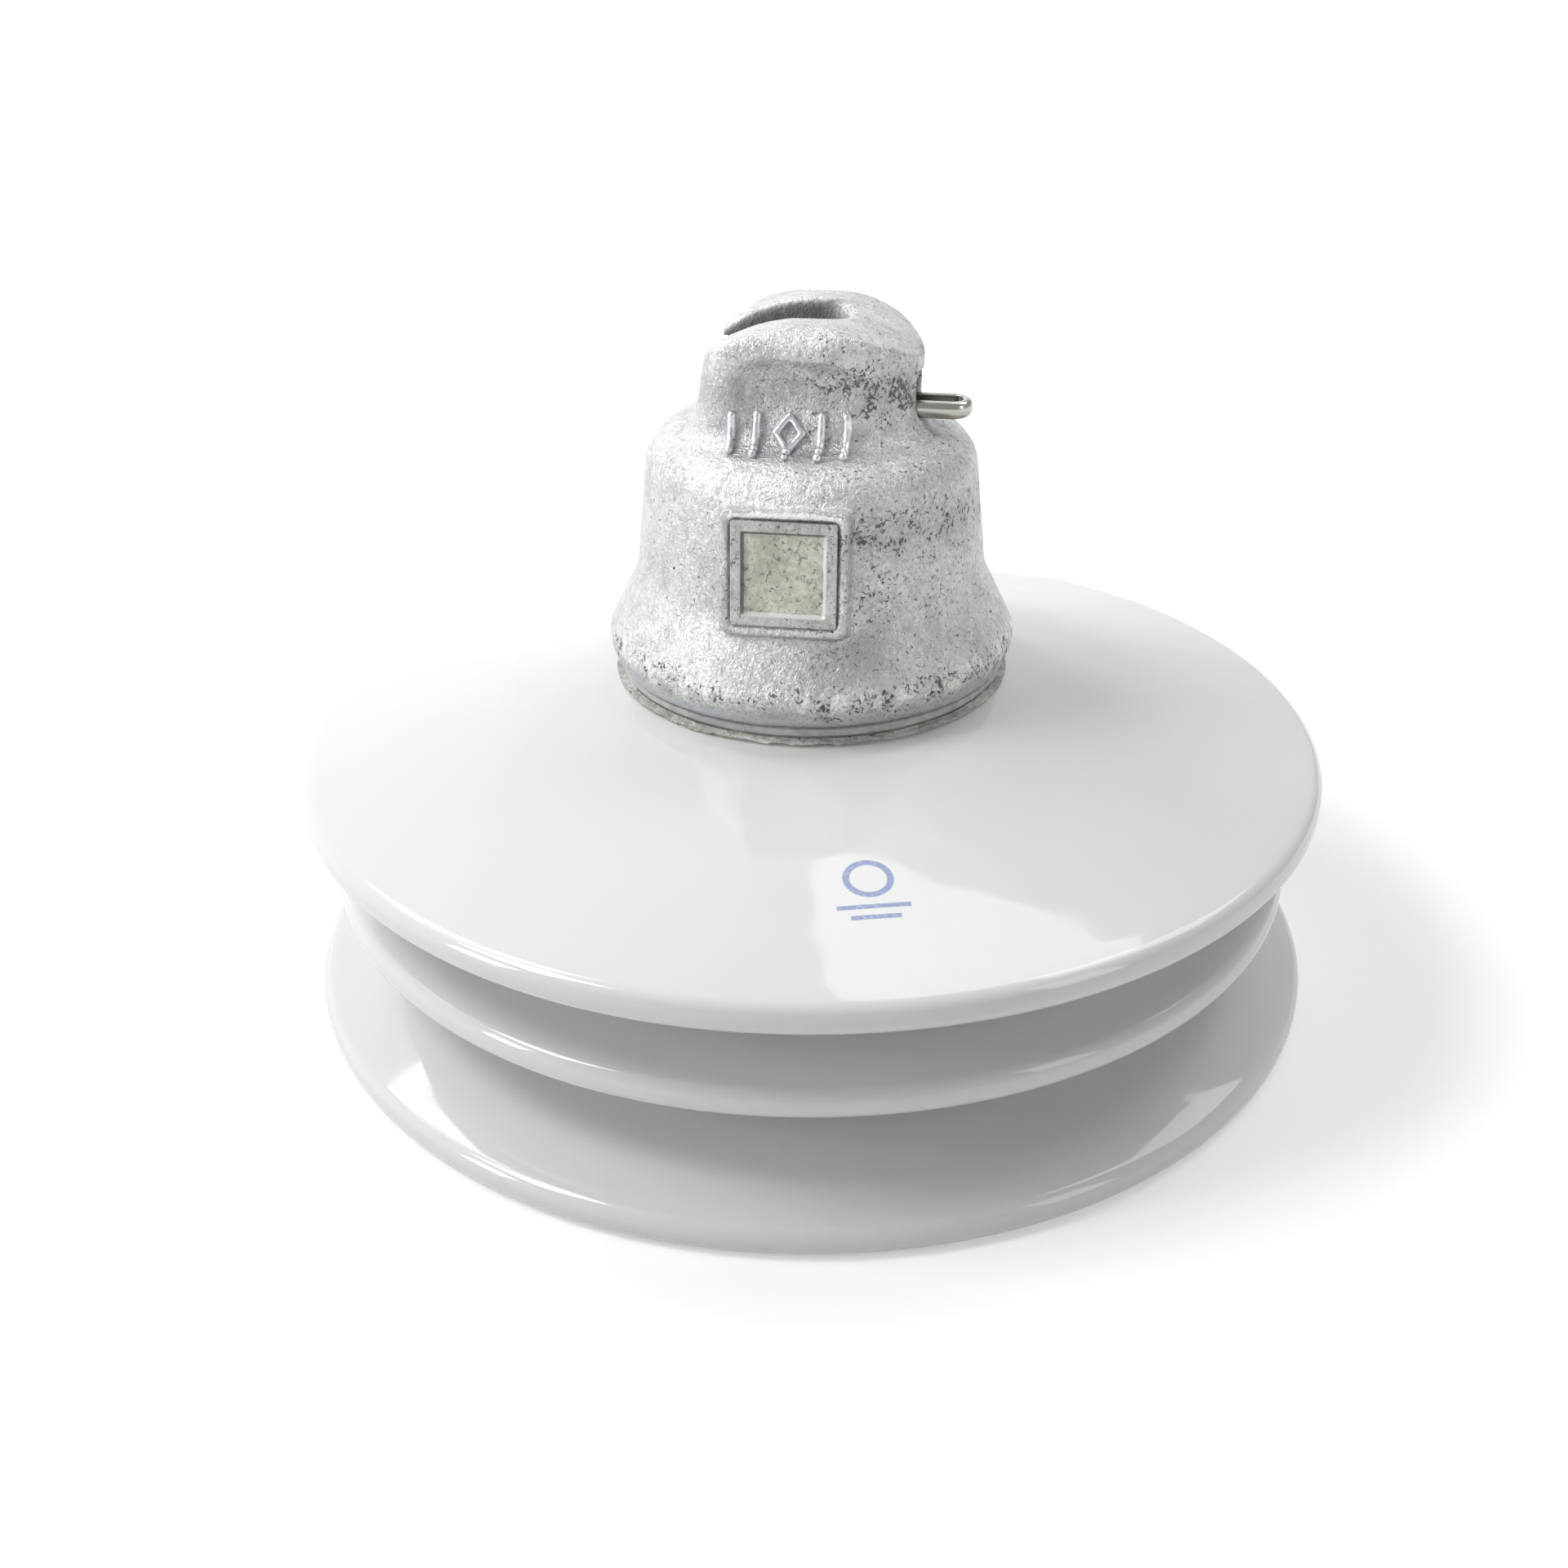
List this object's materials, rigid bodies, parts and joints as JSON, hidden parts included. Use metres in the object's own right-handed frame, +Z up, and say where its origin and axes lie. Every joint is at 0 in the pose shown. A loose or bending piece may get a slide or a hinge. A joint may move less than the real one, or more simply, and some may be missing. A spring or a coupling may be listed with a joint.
{
  "type": "disc suspension insulator",
  "caption": "Cap-and-pin porcelain suspension insulator with stacked open sheds, a galvanised socket cap, a ball pin and a sliding locking clip.",
  "frame": {"origin": "centre of the circle on which the lowest shed's rim stands", "axes": "+Z up along the axis of cap and pin; the socket's entry window opens toward -X, the locking clip pulls out toward +X, the tag is on the -Y side"},
  "size_m": [0.301, 0.301, 0.202],
  "materials": {
    "glaze": "high-gloss pale grey glaze",
    "cap_zinc": "hot-dip galvanised, matt with dark pits and pale dross",
    "pin_zinc": "hot-dip galvanised forging",
    "cement": "rough cured cement",
    "cushion": "matt bituminous pad",
    "tag": "dull speckled plate with a raised rim",
    "clip_steel": "polished drawn wire with a warm tint"
  },
  "bodies": {
    "insulator": {"cap": "cap_zinc", "porcelain_shell": "glaze", "ball_pin": "pin_zinc", "cap_cement": "cement", "head_cushion": "cushion", "pin_cement": "cement", "pin_cushion": "cushion", "tag_plate": "tag"},
    "clip": {"locking_clip": "clip_steel"}
  },
  "joints": [
    {"name": "clip_slide", "type": "slide", "parent": "insulator", "child": "clip", "axis": [1, 0, 0], "range_m": [0, 0.0185]}
  ]
}
